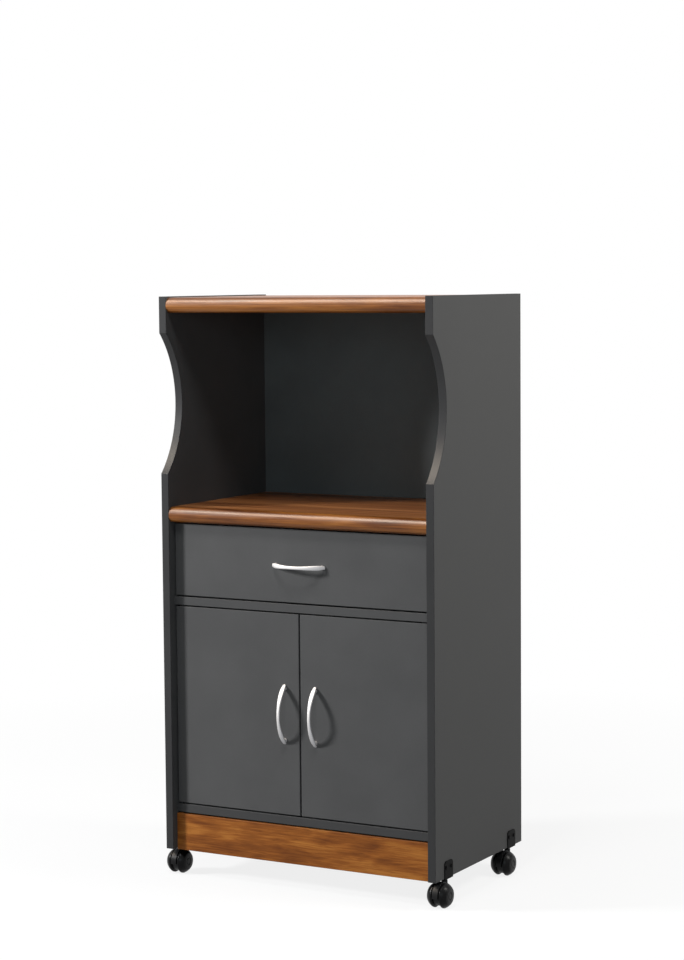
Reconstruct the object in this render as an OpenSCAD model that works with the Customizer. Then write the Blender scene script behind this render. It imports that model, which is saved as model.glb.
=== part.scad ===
// Microwave cart: two tall side panels with a curved cut in the front edge, an open
// bay above a drawer and a two-door cupboard, bullnose shelves, on four twin-wheel casters.
// Millimetres. +Z is up, the front faces -Y. The origin is on the floor, in the middle of
// the footprint measured over the side panels' depth and the handles.

/* [Cart] */
// Width over the side panels
cart_w = 600; // [480:5:760]
// Depth of the side panels
cart_d = 380; // [370:5:500]
// Height from the floor to the top of the side panels
cart_h = 1150; // [1100:5:1350]
// Thickness of the boards and of the fronts
board_t = 16; // [15:0.5:19]
// How far the fronts stand back from the side panels' front edges
front_setback = 18; // [10:1:25]
// Gap round the doors and round the drawer front
front_gap = 3; // [2.5:0.5:5]

/* [Heights] */
// Height of the toe kick
toe_h = 73.5; // [50:0.5:110]
// How far the toe kick hangs below the side panels, and its gap to the board above it
toe_drop = 3; // [0:0.5:3]
// How far the toe kick stands in front of the doors
toe_project = 2.5; // [0:0.5:8]
// Height of the doors
door_h = 393; // [250:1:420]
// Height of the drawer front
drawer_front_h = 142; // [135:1:180]
// Height of the bullnose edges of the two shelves
nosing_h = 30; // [22:1:38]
// How far the top lies below the side panels' upper ends
top_drop = 2; // [0:0.5:10]

/* [Side panel cut] */
// Length of the curved cut along the front edge
cut_l = 275; // [120:5:300]
// Depth of the curved cut
cut_depth = 54; // [10:1:58]
// Height of the middle of the cut above the microwave shelf
cut_rise = 203.5; // [170:0.5:220]

/* [Bullnose and back] */
// Depth of the bullnose strip
nosing_d = 24; // [20:1:35]
// Radius of the bullnose strip's front edges
nosing_r = 11; // [3:0.5:11]
// Thickness of the back panel
back_t = 3; // [2.5:0.5:5]
// Distance from the back panel to the rear edge of the side panels
back_inset = 6; // [4:1:12]
// Depth of the grooves that hold the back panel
groove_depth = 6; // [4:0.5:8]
// Height at which the grooves end above the side panels' lower ends
groove_rise = 40; // [20:1:60]

/* [Joinery] */
// Diameter of the cam locks
cam_d = 15; // [12:0.5:18]
// Height of the cam locks
cam_h = 12; // [11:0.5:12.5]
// Distance from a board's end to the middle of its cam locks
cam_inset = 24; // [20:1:34]
// Diameter of the cam bolts' threaded end
cam_bolt_d = 6; // [5:0.5:7]
// Diameter of the wooden dowels
dowel_d = 8; // [6:0.5:9]
// Length of the wooden dowels
dowel_l = 30; // [26:1:36]
// Distance from the front and rear edges to the nearest cam lock
cam_edge = 75; // [60:1:80]
// Distance between a cam lock and the dowel beside it
cam_dowel_pitch = 32; // [20:1:40]
// Shaft diameter of the wood screws
screw_d = 3.5; // [3:0.5:4]
// Head diameter of the wood screws
screw_head_d = 7; // [6:0.5:8]
// Head height of the wood screws
screw_head_h = 1.5; // [1:0.1:1.6]
// Depth that the wood screws reach into a board
screw_grip = 11; // [8:0.5:13]

/* [Drawer] */
// Height of the drawer's sides
drawer_side_h = 100; // [60:1:105]
// Thickness of the drawer's sides and back
drawer_board_t = 12; // [10:0.5:14]
// Gap between the drawer's sides and the back panel
drawer_back_gap = 25; // [15:1:60]
// Thickness of the drawer's bottom
drawer_bottom_t = 3; // [2.5:0.5:5]
// Height of the drawer's bottom above the lower edge of the sides
drawer_bottom_rise = 8; // [6:0.5:15]
// Diameter of the drawer's dowels
drawer_dowel_d = 6; // [5:0.5:7]
// Length of the drawer's dowels
drawer_dowel_l = 24; // [20:1:26]

/* [Drawer runners] */
// Gap between a side panel and the drawer's side
runner_gap = 12.7; // [12.5:0.1:14]
// Thickness of the runners' sheet steel
rail_t = 1.2; // [1:0.1:1.4]
// Height of the runners above the board under the drawer
runner_rise = 6; // [3:0.5:8]
// Diameter of the runners' rollers
roller_d = 18; // [14:0.5:20]
// Width of the runners' rollers
roller_w = 6; // [4:0.5:6]
// Diameter of the rollers' pins
roller_pin_d = 6; // [4:0.5:7]

/* [Handles] */
// Length of a handle
handle_l = 120; // [100:1:150]
// Reach of a handle in front of the board it is on
handle_h = 28; // [24:0.5:40]
// Width of a handle's bow
handle_w = 7.5; // [6:0.5:12]
// Thickness of a handle's bow
handle_t = 5; // [4:0.5:6]
// Distance between a handle's two screws
handle_pitch = 101.6; // [80:0.1:102]
// Distance from the cart's middle to the doors' handles
door_handle_x = 34; // [25:1:60]
// Diameter of the handles' screws
handle_screw_d = 4; // [3:0.5:5]

/* [Door pivots and catches] */
// Diameter of the pivot pins
pivot_d = 5; // [4:0.5:6]
// Length of the pivot pins
pivot_l = 26; // [22:1:32]
// Diameter of the bushes the pivot pins turn in
bush_d = 9; // [8:0.5:11]
// Length of a bush inside its board
bush_l = 11; // [8:0.5:13]
// Distance from the cart's middle to the middle of a catch
catch_x = 34; // [30:1:70]

/* [Casters] */
// Height of the casters under the side panels
caster_h = 55; // [54:0.5:70]
// Diameter of the wheels
wheel_d = 48; // [40:1:48]
// Width of one wheel
wheel_w = 14.5; // [13:0.5:18]
// Width of the wheels' flat tread
tread_w = 4; // [3:0.5:7]
// Thickness of the fork plate between two wheels
fork_t = 12; // [11.5:0.5:15]
// Distance from the swivel's axis to the wheels' axis
trail = 17; // [12:0.5:18]
// Diameter of the swivel stem
stem_d = 8; // [7:0.5:8]
// Outer diameter of the socket sleeves
socket_d = 11; // [10.5:0.5:11.5]
// Depth of the socket sleeves inside the side panels
socket_l = 36; // [25:1:38]
// Diameter of the wheels' stub axles
axle_d = 8; // [6:0.5:9]
// Distance from the side panels' front edge to the front casters' swivel axis
caster_front = 53; // [50:1:90]
// Distance from the side panels' rear edge to the rear casters' swivel axis
caster_back = 50; // [40:1:90]
// Width of the corner brackets
bracket_w = 34; // [34:1:46]
// Height of the corner brackets on the side panels
bracket_h = 33; // [26:1:38]
// Thickness of the corner brackets
bracket_t = 2; // [1.5:0.5:3]

/* [Clearances] */
// Gap between a fixed piece and the pocket or bore it sits in
fit_gap = 0.1; // [0.05:0.05:0.2]
// Gap all round a pin or stem that turns in its bore
turn_gap = 0.05; // [0.02:0.01:0.09]
// Gap between faces that slide or roll past each other
run_gap = 0.3; // [0.3:0.1:0.5]

/* [Output] */
// Piece to draw

/* [Hidden] */
$fn = 96;

// Colours of the finishes
charcoal = [0.27, 0.27, 0.28];
cherry = [0.58, 0.35, 0.20];
dark_board = [0.12, 0.12, 0.13];
drawer_board = [0.78, 0.72, 0.62];
beech = [0.80, 0.66, 0.46];
steel = [0.72, 0.72, 0.73];
satin_silver = [0.82, 0.82, 0.83];
nylon = [0.92, 0.92, 0.90];
black = [0.05, 0.05, 0.05];

// Overlap that carries a cutting shape past the face it cuts
past = 1;

// Plan: front and rear edges of the side panels, and the faces that follow from them
handle_over = max(0, handle_h - front_setback);
front_y = (handle_over - cart_d) / 2;
back_y = front_y + cart_d;
face_y = front_y + front_setback;
face_back_y = face_y + board_t;
back_panel_y = back_y - back_inset - back_t;
board_back_y = back_panel_y - fit_gap;
shelf_front_y = front_y + nosing_d;
inner_x = cart_w / 2 - board_t;
panel_mid_x = cart_w / 2 - board_t / 2;

// Heights of the boards' undersides, from the floor up
panel_z = caster_h;
panel_h = cart_h - caster_h;
bottom_z = panel_z + toe_h;
door_z = bottom_z + board_t + front_gap;
divider_z = door_z + door_h + front_gap;
drawer_front_z = divider_z + board_t + front_gap;
shelf_nosing_z = drawer_front_z + drawer_front_h + front_gap;
shelf_top_z = shelf_nosing_z + nosing_h;
shelf_z = shelf_top_z - board_t;
top_z = cart_h - top_drop - board_t;
top_nosing_z = cart_h - top_drop - nosing_h;

// The curved cut's radius from its length and depth, and its place
cut_r = (pow(cut_l / 2, 2) + pow(cut_depth, 2)) / (2 * cut_depth);
cut_z = shelf_top_z + cut_rise;

// Joinery rows, shared by the boards and the side panels
board_zs = [bottom_z, divider_z, shelf_z, top_z];
cam_ys = [front_y + cam_edge, back_y - cam_edge];
dowel_ys = [front_y + cam_edge + cam_dowel_pitch, back_y - cam_edge - cam_dowel_pitch];
cam_x = inner_x - cam_inset;
bolt_grip = 11;
bolt_neck_d = 4;
bolt_head_w = 3;
dowel_grip = dowel_l / 3;
nosing_dowel_grip = 12;
nosing_dowel_xs = [-cart_w / 3, 0, cart_w / 3];
toe_dowel_zs = [panel_z + toe_h * 0.27, panel_z + toe_h * 0.73];
toe_y = face_y - toe_project;
toe_mid_y = toe_y + board_t / 2;

// Drawer runners: cabinet rail, drawer rail and their rollers
drawer_l = back_panel_y - drawer_back_gap - face_back_y;
runner_z = divider_z + board_t + runner_rise;
runner_y = face_back_y + 2;
drawer_side_x = inner_x - runner_gap;
rail_in_x = drawer_side_x + rail_t;
rail_out_x = inner_x - rail_t;
rail_mid_x = (rail_in_x + rail_out_x) / 2;
runner_web_h = 28;
front_roller_y = runner_y + roller_d / 2 + 1;
front_roller_z = runner_z + roller_d / 2 + 5;
rear_roller_y = face_back_y + drawer_l - roller_d / 2 - 3;
rear_roller_z = runner_z + rail_t + run_gap + roller_d / 2;
slide_flange_z = front_roller_z + roller_d / 2 + run_gap;
runner_stop_y = rear_roller_y + roller_d / 2 + 0.5;
rail_screw_inset = 45;
runner_screw_ys = [
    runner_y + rail_screw_inset, (runner_y + runner_stop_y) / 2, runner_stop_y - rail_screw_inset
];
runner_screw_z = runner_z + runner_web_h / 2;
slide_screw_ys = [
    face_back_y + rail_screw_inset, face_back_y + drawer_l / 2,
    face_back_y + drawer_l - rail_screw_inset
];
slide_screw_grip = 8;

// Drawer box
drawer_z = runner_z + rail_t;
drawer_top_z = drawer_z + drawer_side_h;
drawer_bottom_z = drawer_z + drawer_bottom_rise;
slide_screw_z = (drawer_bottom_z + drawer_bottom_t + slide_flange_z) / 2;
drawer_in_x = drawer_side_x - drawer_board_t;
drawer_back_z = drawer_bottom_z + drawer_bottom_t + fit_gap;
drawer_end_y = face_back_y + drawer_l;
drawer_back_y = drawer_end_y - drawer_board_t;
drawer_groove = 5;
drawer_dowel_grip = 9;
drawer_dowel_zs = [drawer_z + drawer_side_h * 0.35, drawer_z + drawer_side_h * 0.75];

// Handles: the bow is the part of a ring that stands in front of the board
bow_outer_r = (pow(handle_l / 2, 2) + pow(handle_h, 2)) / (2 * handle_h);
bow_r = bow_outer_r - handle_t / 2;
bow_mid = bow_outer_r - handle_h;
handle_foot_d = 9;
// The feet reach to the middle of the bow where it passes over the screws
foot_reach = sqrt(pow(bow_r, 2) - pow(handle_pitch / 2, 2)) - bow_mid;
handle_screw_grip = 7;
handle_screw_head_d = 7.5;
handle_screw_head_h = 2.5;
drawer_handle_z = drawer_front_z + drawer_front_h / 2;
door_handle_z = door_z + door_h / 2;

// Doors turn on pins set into their upper and lower edges. The pins stand just far enough
// from the side panel for the door's corners to clear it.
door_half = board_t / 2;
corner_room = (pow(door_half, 2) - pow(front_gap, 2)) / (2 * front_gap);
pivot_inset = corner_room + 3;
pivot_x = inner_x - front_gap - pivot_inset;
pivot_y = face_y + door_half;
door_w = inner_x - 1.5 * front_gap;
bush_flange_d = bush_d + 4;
bush_flange_h = front_gap - run_gap;
pivot_in_board = bush_l - 2;
pivot_in_door = pivot_l - pivot_in_board - front_gap;

// Catches under the divider, and the strikes on the doors
catch_body = [22, 14, 20];
catch_ear = [40, 11, 2];
catch_screw_pitch = 31;
strike_r = 7.5;
strike_t = 1.2;
strike_stem_d = 5;
strike_stem_l = 8;
strike_y = face_back_y;
catch_y = strike_y + strike_t + run_gap;
catch_z = divider_z - catch_body[2] * 0.6;

// Casters
caster_front_y = front_y + caster_front;
caster_back_y = back_y - caster_back;
caster_ys = [caster_front_y, caster_back_y];
axle_z = wheel_d / 2;
hood_r = wheel_d / 2 + 1;
wheel_gap = 0.5;
wheel_x = fork_t / 2 + wheel_gap;
wheel_ball_r = norm([wheel_x + tread_w, wheel_d / 2]);
wheel_wall = 3.5;
wheel_hollow = 0.45;
axle_bore_l = 11.5;
stem_low_z = axle_z - 7;
stem_top_z = panel_z + socket_l - 2;
socket_flange_h = 1.5;
socket_flange_d = socket_d + 4;
socket_low_z = panel_z - bracket_t - socket_flange_h;
swivel_gap = 1.5;
fork_top_z = socket_low_z - swivel_gap;
bracket_screw_z = panel_z + bracket_h * 0.62;
bracket_screw_pitch = bracket_w * 0.62;

// Places the right-hand shape on both sides
module both_sides() {
    children();
    mirror([1, 0, 0]) children();
}

// A cylinder from a point along +X
module rod_x(at, d, l) {
    translate(at) rotate([0, 90, 0]) cylinder(d = d, h = l);
}

// A cylinder from a point along +Y
module rod_y(at, d, l) {
    translate(at) rotate([-90, 0, 0]) cylinder(d = d, h = l);
}

// A cylinder from a point along +Z
module rod_z(at, d, l) {
    translate(at) cylinder(d = d, h = l);
}

// A pan-head wood screw: the head stands on the origin's plane, the shaft points to +X
module wood_screw(grip, sheet) {
    rod_x([-screw_head_h, 0, 0], screw_head_d, screw_head_h);
    rod_x([-screw_head_h / 2, 0, 0], screw_d, screw_head_h / 2 + sheet + grip);
}

// ---- Side panels ----

// Bores of the right-hand side panel's inner face
module side_panel_bores() {
    for (z = board_zs) {
        for (y = cam_ys)
            rod_x([inner_x - past, y, z + board_t / 2], cam_bolt_d + 2 * fit_gap,
                past + bolt_grip + fit_gap);
        for (y = dowel_ys)
            rod_x([inner_x - past, y, z + board_t / 2], dowel_d + 2 * fit_gap,
                past + dowel_grip + fit_gap);
    }
    for (z = toe_dowel_zs)
        rod_x([inner_x - past, toe_mid_y, z], dowel_d + 2 * fit_gap,
            past + dowel_grip + fit_gap);
    for (y = runner_screw_ys)
        rod_x([inner_x - past, y, runner_screw_z], screw_d + 2 * fit_gap,
            past + screw_grip + fit_gap);
}

// Sockets and screw holes for the right-hand casters
module side_panel_caster_bores() {
    for (y = caster_ys) {
        rod_z([panel_mid_x, y, panel_z - past], socket_d + 2 * fit_gap,
            past + socket_l + fit_gap);
        for (s = [-1, 1])
            rod_x([cart_w / 2 - screw_grip - fit_gap, y + s * bracket_screw_pitch / 2,
                bracket_screw_z], screw_d + 2 * fit_gap, screw_grip + fit_gap + past);
    }
}

module side_panel() {
    difference() {
        translate([inner_x, front_y, panel_z]) cube([board_t, cart_d, panel_h]);
        rod_x([inner_x - past, front_y + cut_depth - cut_r, cut_z], 2 * cut_r,
            board_t + 2 * past);
        translate([inner_x - past, back_panel_y - fit_gap, panel_z + groove_rise])
            cube([groove_depth + past, back_t + 2 * fit_gap, panel_h]);
        side_panel_bores();
        side_panel_caster_bores();
    }
}

module side_panel_right() { color(charcoal) side_panel(); }
module side_panel_left() { color(charcoal) mirror([1, 0, 0]) side_panel(); }

// ---- Boards between the side panels ----

// A board with its cam pockets, bolt bores and dowel bores at both ends
module cammed_board(z, y0) {
    difference() {
        translate([-inner_x, y0, z]) cube([2 * inner_x, board_back_y - y0, board_t]);
        both_sides() {
            for (y = cam_ys) {
                rod_z([cam_x, y, z - past], cam_d + 2 * fit_gap, cam_h + fit_gap + past);
                rod_x([cam_x, y, z + board_t / 2], cam_bolt_d + 1, cam_inset + past);
            }
            for (y = dowel_ys)
                rod_x([inner_x - (dowel_l - dowel_grip) - fit_gap, y, z + board_t / 2],
                    dowel_d + 2 * fit_gap, dowel_l + past);
        }
    }
}

// Bores that join a shelf's board to its bullnose strip
module nosing_dowel_bores(z) {
    for (x = nosing_dowel_xs)
        rod_y([x, shelf_front_y - nosing_dowel_grip - fit_gap, z + board_t / 2],
            dowel_d + 2 * fit_gap, dowel_l + 2 * fit_gap);
}

module shelf(z) {
    difference() {
        cammed_board(z, shelf_front_y);
        nosing_dowel_bores(z);
    }
}

module top_board() { color(cherry) shelf(top_z); }
module shelf_board() { color(cherry) shelf(shelf_z); }

// Bullnose strip: a rectangle whose two front edges are rounded
module nosing_profile() {
    translate([nosing_r, 0]) square([nosing_d - nosing_r, nosing_h]);
    translate([0, nosing_r]) square([nosing_d, nosing_h - 2 * nosing_r]);
    translate([nosing_r, nosing_r]) circle(r = nosing_r);
    translate([nosing_r, nosing_h - nosing_r]) circle(r = nosing_r);
}

module nosing(z, board_z) {
    difference() {
        translate([-inner_x, front_y, z]) rotate([90, 0, 90])
            linear_extrude(height = 2 * inner_x) nosing_profile();
        nosing_dowel_bores(board_z);
    }
}

module top_nosing() { color(cherry) nosing(top_nosing_z, top_z); }
module shelf_nosing() { color(cherry) nosing(shelf_nosing_z, shelf_z); }

module divider_board() {
    color(charcoal) difference() {
        cammed_board(divider_z, face_y);
        both_sides() {
            rod_z([pivot_x, pivot_y, divider_z - past], bush_d + 2 * fit_gap,
                past + bush_l + fit_gap);
            for (s = [-1, 1])
                rod_z([catch_x + s * catch_screw_pitch / 2, catch_y + catch_ear[1] / 2,
                    divider_z - past], screw_d + 2 * fit_gap, past + screw_grip + fit_gap);
        }
    }
}

module bottom_board() {
    color(charcoal) difference() {
        cammed_board(bottom_z, face_y);
        both_sides()
            rod_z([pivot_x, pivot_y, bottom_z + board_t - bush_l - fit_gap],
                bush_d + 2 * fit_gap, bush_l + fit_gap + past);
    }
}

module toe_kick() {
    color(cherry) difference() {
        translate([-inner_x, toe_y, panel_z - toe_drop]) cube([2 * inner_x, board_t, toe_h]);
        both_sides()
            for (z = toe_dowel_zs)
                rod_x([inner_x - (dowel_l - dowel_grip) - fit_gap, toe_mid_y, z],
                    dowel_d + 2 * fit_gap, dowel_l + past);
    }
}

module back_panel() {
    half = inner_x + groove_depth - fit_gap;
    color(dark_board) translate([-half, back_panel_y, panel_z + groove_rise + fit_gap])
        cube([2 * half, back_t, panel_h - top_drop - groove_rise - fit_gap]);
}

// ---- Cam locks, cam bolts, dowels and screws ----

// A cam lock stands in its pocket and holds the bolt's head in its side opening
module cam_lock(at) {
    translate(at) difference() {
        cylinder(d = cam_d, h = cam_h);
        rod_x([-bolt_head_w, 0, board_t / 2], cam_bolt_d + 1, cam_d);
        for (a = [0, 90])
            rotate([0, 0, a]) translate([-3.5, -0.6, -past]) cube([7, 1.2, past + 1.5]);
    }
}

module cam_locks() {
    color(steel) both_sides()
        for (z = board_zs, y = cam_ys)
            cam_lock([cam_x, y, z]);
}

// A cam bolt: head inside the cam lock, thin neck, thread in the side panel
module cam_bolt(y, z) {
    rod_x([cam_x - 1, y, z], cam_bolt_d, bolt_head_w);
    rod_x([cam_x, y, z], bolt_neck_d, cam_inset + past);
    rod_x([inner_x, y, z], cam_bolt_d, bolt_grip);
}

module cam_bolts() {
    color(steel) both_sides()
        for (z = board_zs, y = cam_ys)
            cam_bolt(y, z + board_t / 2);
}

module dowels() {
    color(beech) {
        both_sides() {
            for (z = board_zs, y = dowel_ys)
                rod_x([inner_x - (dowel_l - dowel_grip), y, z + board_t / 2], dowel_d, dowel_l);
            for (z = toe_dowel_zs)
                rod_x([inner_x - (dowel_l - dowel_grip), toe_mid_y, z], dowel_d, dowel_l);
        }
        for (z = [shelf_z, top_z], x = nosing_dowel_xs)
            rod_y([x, shelf_front_y - nosing_dowel_grip, z + board_t / 2], dowel_d, dowel_l);
    }
}

// Screws of the runners and of the catches
module wood_screws() {
    color(steel) both_sides() {
        for (y = runner_screw_ys)
            translate([rail_out_x, y, runner_screw_z]) wood_screw(screw_grip, rail_t);
        for (s = [-1, 1])
            translate([catch_x + s * catch_screw_pitch / 2, catch_y + catch_ear[1] / 2,
                divider_z - catch_ear[2]])
                rotate([0, -90, 0]) wood_screw(screw_grip, catch_ear[2]);
    }
}

// ---- Drawer runners ----

// Rail on the side panel: web, lower track with a lip, rear stop, and the front roller's pin
module runner() {
    length = runner_stop_y + rail_t - runner_y;
    difference() {
        union() {
            translate([rail_out_x, runner_y, runner_z]) cube([rail_t, length, runner_web_h]);
            translate([rail_in_x + 0.8, runner_y, runner_z])
                cube([rail_out_x - rail_in_x - 0.8 + rail_t, length, rail_t]);
            translate([rail_in_x + 0.8, runner_y, runner_z]) cube([1, length, rail_t + 2]);
            translate([rail_in_x + 0.8, runner_stop_y, runner_z])
                cube([rail_out_x - rail_in_x - 0.8 + rail_t, rail_t, roller_d * 0.7]);
            rod_x([rail_mid_x - roller_w / 2, front_roller_y, front_roller_z], roller_pin_d,
                rail_out_x + rail_t - (rail_mid_x - roller_w / 2));
        }
        for (y = runner_screw_ys)
            rod_x([rail_out_x - past, y, runner_screw_z], screw_d + 2 * fit_gap,
                rail_t + 2 * past);
    }
}

module runner_right() { color(steel) runner(); }
module runner_left() { color(steel) mirror([1, 0, 0]) runner(); }

// Rail on the drawer's side: web, flange over the front roller, flange under the side,
// and the rear roller's pin
module slide() {
    difference() {
        union() {
            translate([drawer_side_x, face_back_y, runner_z])
                cube([rail_t, drawer_l, slide_flange_z + rail_t - runner_z]);
            translate([drawer_side_x, face_back_y, slide_flange_z])
                cube([rail_out_x - 0.8 - drawer_side_x, drawer_l, rail_t]);
            translate([drawer_in_x, face_back_y, runner_z])
                cube([drawer_board_t + rail_t, drawer_l, rail_t]);
            rod_x([drawer_side_x, rear_roller_y, rear_roller_z], roller_pin_d,
                rail_mid_x + roller_w / 2 - drawer_side_x);
        }
        for (y = slide_screw_ys)
            rod_x([drawer_side_x - past, y, slide_screw_z], screw_d + 2 * fit_gap,
                rail_t + 2 * past);
    }
}

module slide_right() { color(steel) slide(); }
module slide_left() { color(steel) mirror([1, 0, 0]) slide(); }

module slide_screws() {
    color(steel) both_sides()
        for (y = slide_screw_ys)
            translate([rail_in_x, y, slide_screw_z]) mirror([1, 0, 0])
                wood_screw(slide_screw_grip, rail_t);
}

module roller(y, z) {
    difference() {
        rod_x([rail_mid_x - roller_w / 2, y, z], roller_d, roller_w);
        rod_x([rail_mid_x - roller_w, y, z], roller_pin_d + 2 * turn_gap, 2 * roller_w);
    }
}

module front_rollers() { color(nylon) both_sides() roller(front_roller_y, front_roller_z); }
module rear_rollers() { color(nylon) both_sides() roller(rear_roller_y, rear_roller_z); }

// ---- Drawer box ----

// Bores for the dowels between the drawer's sides, front and back
module drawer_dowel_bores() {
    for (z = drawer_dowel_zs) {
        rod_y([(drawer_side_x + drawer_in_x) / 2, face_back_y - drawer_dowel_grip - fit_gap, z],
            drawer_dowel_d + 2 * fit_gap, drawer_dowel_l + 2 * fit_gap);
        rod_x([drawer_in_x + drawer_dowel_grip - drawer_dowel_l - fit_gap,
            drawer_end_y - drawer_board_t / 2, z], drawer_dowel_d + 2 * fit_gap,
            drawer_dowel_l + 2 * fit_gap);
    }
}

module drawer_dowels() {
    color(beech) both_sides()
        for (z = drawer_dowel_zs) {
            rod_y([(drawer_side_x + drawer_in_x) / 2, face_back_y - drawer_dowel_grip, z],
                drawer_dowel_d, drawer_dowel_l);
            rod_x([drawer_in_x + drawer_dowel_grip - drawer_dowel_l,
                drawer_end_y - drawer_board_t / 2, z], drawer_dowel_d, drawer_dowel_l);
        }
}

// Groove for the drawer's bottom, the same height in the front and in the sides
module drawer_groove_cut() {
    half = drawer_in_x + drawer_groove;
    translate([-half, face_back_y - drawer_groove, drawer_bottom_z - fit_gap])
        cube([2 * half, drawer_l + drawer_groove + past, drawer_bottom_t + 2 * fit_gap]);
}

module drawer_front() {
    half = inner_x - front_gap;
    color(charcoal) difference() {
        translate([-half, face_y, drawer_front_z]) cube([2 * half, board_t, drawer_front_h]);
        drawer_groove_cut();
        both_sides() drawer_dowel_bores();
        at_drawer_handle() handle_screw_bores();
    }
}

module drawer_side() {
    difference() {
        translate([drawer_in_x, face_back_y, drawer_z])
            cube([drawer_board_t, drawer_l, drawer_side_h]);
        drawer_groove_cut();
        drawer_dowel_bores();
        for (y = slide_screw_ys)
            rod_x([drawer_side_x - slide_screw_grip - fit_gap, y, slide_screw_z],
                screw_d + 2 * fit_gap, slide_screw_grip + fit_gap + past);
    }
}

module drawer_side_right() { color(drawer_board) drawer_side(); }
module drawer_side_left() { color(drawer_board) mirror([1, 0, 0]) drawer_side(); }

module drawer_back() {
    color(drawer_board) difference() {
        translate([-drawer_in_x, drawer_back_y, drawer_back_z])
            cube([2 * drawer_in_x, drawer_board_t, drawer_top_z - drawer_back_z]);
        both_sides() drawer_dowel_bores();
    }
}

module drawer_bottom() {
    half = drawer_in_x + drawer_groove - fit_gap;
    color(drawer_board)
        translate([-half, face_back_y - drawer_groove + fit_gap, drawer_bottom_z])
            cube([2 * half, drawer_l + drawer_groove - fit_gap, drawer_bottom_t]);
}

// ---- Handles ----

// A bow pull along X: the board's face is the plane y = 0 and the bow stands towards -Y
module bow_handle() {
    difference() {
        intersection() {
            union() {
                translate([0, bow_mid, 0]) rotate_extrude() translate([bow_r, 0])
                    bow_section();
                for (s = [-1, 1])
                    intersection() {
                        rod_y([s * handle_pitch / 2, -foot_reach, 0], handle_foot_d, foot_reach);
                        translate([0, bow_mid, -handle_foot_d])
                            cylinder(r = bow_r + handle_t / 4, h = 2 * handle_foot_d);
                    }
            }
            translate([-handle_l, -2 * handle_h, -handle_foot_d])
                cube([2 * handle_l, 2 * handle_h, 2 * handle_foot_d]);
        }
        for (s = [-1, 1])
            rod_y([s * handle_pitch / 2, -handle_screw_grip - fit_gap, 0],
                handle_screw_d + 2 * fit_gap, handle_screw_grip + fit_gap + past);
    }
}

// The bow's section: a bar with two round edges
module bow_section() {
    edge = (handle_w - handle_t) / 2;
    square([handle_t, 2 * edge], center = true);
    for (s = [-1, 1])
        translate([0, s * edge]) circle(d = handle_t);
}

// Holes through the board behind a handle
module handle_screw_bores() {
    for (s = [-1, 1])
        rod_y([s * handle_pitch / 2, -past, 0], handle_screw_d + 4 * fit_gap,
            board_t + 2 * past);
}

// Screws from behind the board into a handle's feet
module handle_screws() {
    for (s = [-1, 1]) {
        rod_y([s * handle_pitch / 2, -handle_screw_grip, 0], handle_screw_d,
            handle_screw_grip + board_t + handle_screw_head_h / 2);
        rod_y([s * handle_pitch / 2, board_t, 0], handle_screw_head_d, handle_screw_head_h);
    }
}

module at_drawer_handle() { translate([0, face_y, drawer_handle_z]) children(); }

module at_door_handle() {
    translate([door_handle_x, face_y, door_handle_z]) rotate([0, 90, 0]) children();
}

module drawer_handle() { color(satin_silver) at_drawer_handle() bow_handle(); }
module drawer_handle_screws() { color(steel) at_drawer_handle() handle_screws(); }

module door_handle_right() { color(satin_silver) at_door_handle() bow_handle(); }
module door_handle_left() { color(satin_silver) mirror([1, 0, 0]) at_door_handle() bow_handle(); }

module door_screws_right() { color(steel) at_door_handle() handle_screws(); }
module door_screws_left() { color(steel) mirror([1, 0, 0]) at_door_handle() handle_screws(); }

// ---- Doors ----

module door() {
    difference() {
        translate([front_gap / 2, face_y, door_z]) cube([door_w, board_t, door_h]);
        for (z = [door_z - past, door_z + door_h - pivot_in_door - fit_gap])
            rod_z([pivot_x, pivot_y, z], pivot_d + 2 * fit_gap, pivot_in_door + fit_gap + past);
        at_door_handle() handle_screw_bores();
        rod_y([catch_x, strike_y - strike_stem_l - fit_gap, catch_z],
            strike_stem_d + 2 * fit_gap, strike_stem_l + fit_gap + past);
    }
}

module door_right() { color(charcoal) door(); }
module door_left() { color(charcoal) mirror([1, 0, 0]) door(); }

// Pins in the door's lower and upper edges
module pivot_pins() {
    rod_z([pivot_x, pivot_y, door_z - front_gap - pivot_in_board], pivot_d, pivot_l);
    rod_z([pivot_x, pivot_y, divider_z + pivot_in_board - pivot_l], pivot_d, pivot_l);
}

module pivot_pins_right() { color(steel) pivot_pins(); }
module pivot_pins_left() { color(steel) mirror([1, 0, 0]) pivot_pins(); }

// A flanged bush: the flange lies on the origin's plane and points up, the sleeve down
module bush() {
    difference() {
        union() {
            cylinder(d = bush_flange_d, h = bush_flange_h);
            translate([0, 0, -bush_l]) cylinder(d = bush_d, h = bush_l + bush_flange_h / 2);
        }
        translate([0, 0, -bush_l + 1])
            cylinder(d = pivot_d + 2 * turn_gap, h = bush_l + bush_flange_h);
    }
}

module pivot_bushes() {
    color(black) both_sides() {
        translate([pivot_x, pivot_y, bottom_z + board_t]) bush();
        translate([pivot_x, pivot_y, divider_z]) mirror([0, 0, 1]) bush();
    }
}

// Magnet catches screwed under the divider
module catch() {
    difference() {
        union() {
            translate([catch_x - catch_body[0] / 2, catch_y, divider_z - catch_body[2]])
                cube(catch_body);
            translate([catch_x - catch_ear[0] / 2, catch_y, divider_z - catch_ear[2]])
                cube(catch_ear);
        }
        for (s = [-1, 1])
            rod_z([catch_x + s * catch_screw_pitch / 2, catch_y + catch_ear[1] / 2,
                divider_z - catch_ear[2] - past], screw_d + 2 * fit_gap,
                catch_ear[2] + 2 * past);
    }
}

module catches() { color(black) both_sides() catch(); }

// A strike: a disc on the door's back with a stem pressed into the door
module strike() {
    rod_y([catch_x, strike_y, catch_z], 2 * strike_r, strike_t);
    rod_y([catch_x, strike_y - strike_stem_l, catch_z], strike_stem_d,
        strike_stem_l + strike_t / 2);
}

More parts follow.
